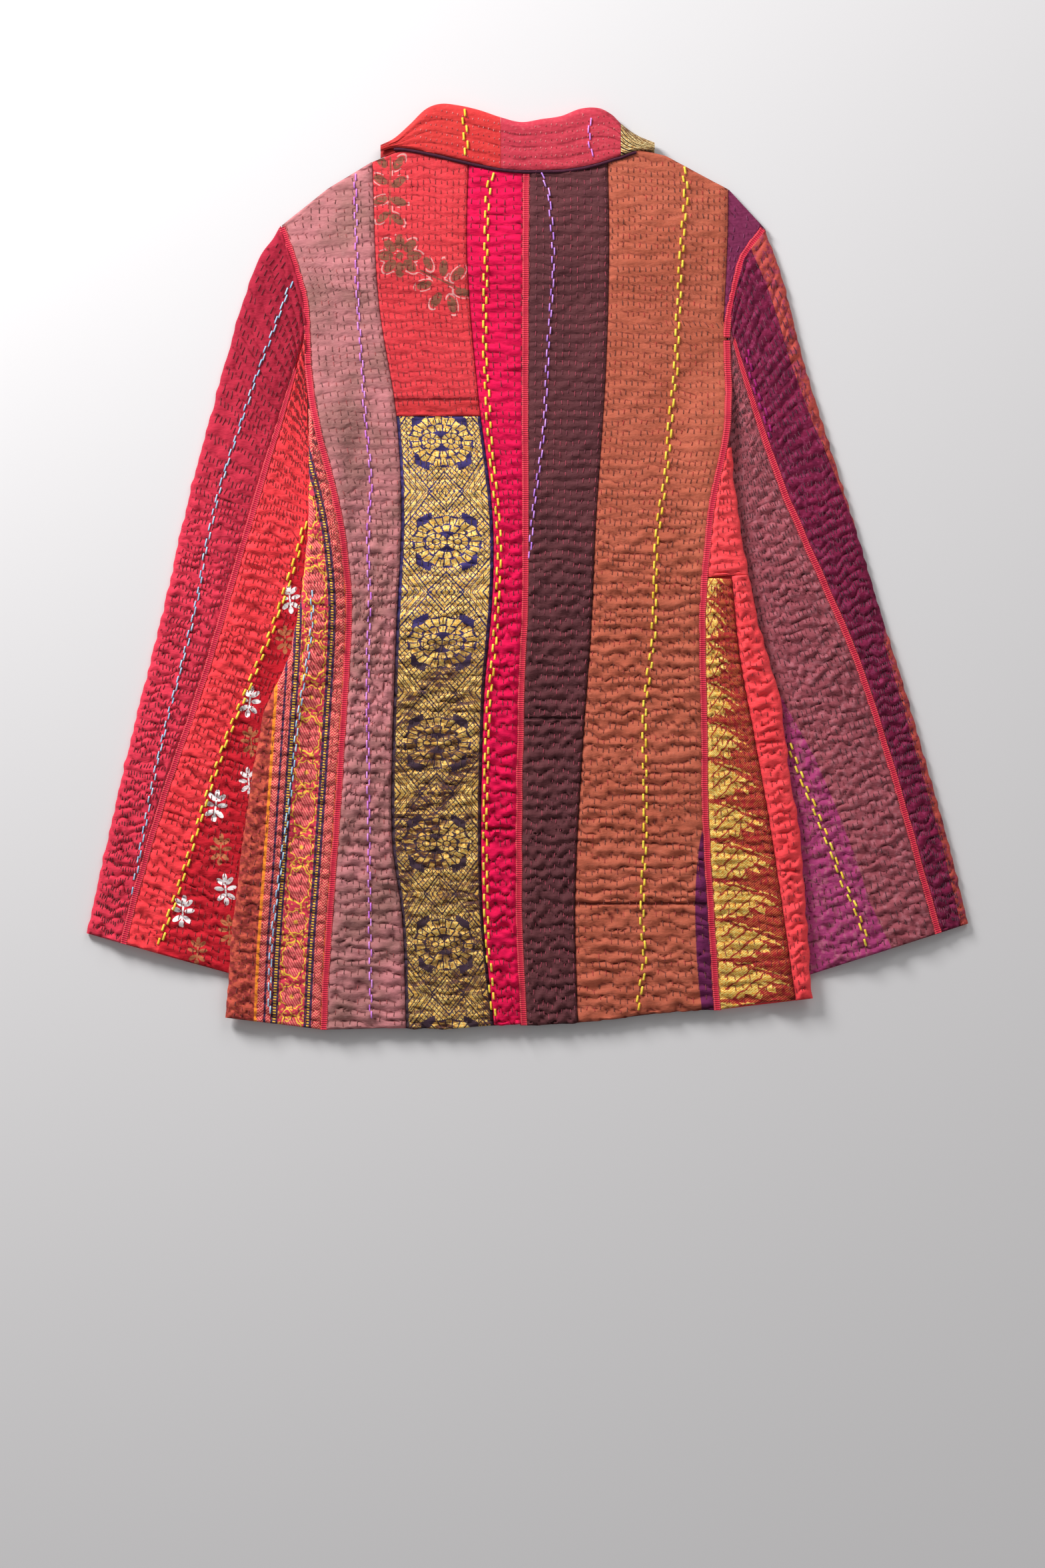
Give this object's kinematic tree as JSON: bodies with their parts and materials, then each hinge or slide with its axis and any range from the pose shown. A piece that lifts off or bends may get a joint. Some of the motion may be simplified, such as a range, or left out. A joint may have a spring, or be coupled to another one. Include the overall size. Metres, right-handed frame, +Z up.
{
  "type": "kantha jacket",
  "caption": "Quilted patchwork kantha jacket laid flat with its back up: pieced strips, side gores, rolled collar, long sleeves and coral seam tapes.",
  "frame": {"origin": "centre of the flat jacket's box, on the surface it lies on", "axes": "+Z up from the surface, +Y from the hem to the collar, +X to the right across the back"},
  "size_m": [0.728, 0.764, 0.0128],
  "materials": {
    "mauve_cotton": "soft worn cotton, hand quilted, matte",
    "floral_cotton": "soft worn cotton, hand quilted, matte",
    "gold_brocade": "woven brocade with a low metallic thread sheen",
    "crimson_cotton": "soft worn cotton, hand quilted, matte",
    "plum_cotton": "soft worn cotton, hand quilted, matte",
    "rust_cotton": "soft worn cotton, hand quilted, matte",
    "purple_cotton": "soft worn cotton, hand quilted, matte",
    "paisley_border": "woven brocade with a low metallic thread sheen",
    "coral_cotton": "soft worn cotton, hand quilted, matte",
    "leaf_brocade": "woven brocade with a low metallic thread sheen",
    "front_cotton": "soft worn cotton, hand quilted, matte",
    "red_cotton": "soft worn cotton, hand quilted, matte",
    "printed_red_cotton": "soft worn cotton, hand quilted, matte",
    "printed_rust_cotton": "soft worn cotton, hand quilted, matte",
    "wine_cotton": "soft worn cotton, hand quilted, matte",
    "orange_red_cotton": "soft worn cotton, hand quilted, matte",
    "rose_cotton": "soft worn cotton, hand quilted, matte",
    "collar_brocade": "woven brocade with a low metallic thread sheen",
    "dark_piping": "soft worn cotton, hand quilted, matte",
    "coral_tape": "soft worn cotton, hand quilted, matte"
  },
  "bodies": {
    "root": {"back_mauve": "mauve_cotton", "back_floral": "floral_cotton", "back_brocade": "gold_brocade", "back_crimson": "crimson_cotton", "back_plum": "plum_cotton", "back_rust": "rust_cotton", "back_purple": "purple_cotton", "side_left": "paisley_border", "side_right_upper": "coral_cotton", "side_right": "coral_cotton", "leaf_patch": "leaf_brocade", "front_left": "front_cotton", "front_right": "front_cotton", "sleeve_left_outer": "red_cotton", "sleeve_left_inner": "printed_red_cotton", "sleeve_right_outer": "printed_rust_cotton", "sleeve_right_inner": "wine_cotton", "collar_red": "orange_red_cotton", "collar_rose": "rose_cotton", "collar_gold": "collar_brocade", "collar_piping": "dark_piping", "collar_end_left": "orange_red_cotton", "collar_end_right": "collar_brocade", "tape_centre": "coral_tape", "tape_side_left": "coral_tape", "tape_side_right": "coral_tape", "tape_armhole_left": "coral_tape", "tape_armhole_right": "coral_tape", "tape_sleeve_left": "coral_tape", "tape_sleeve_right": "coral_tape"}
  },
  "joints": []
}
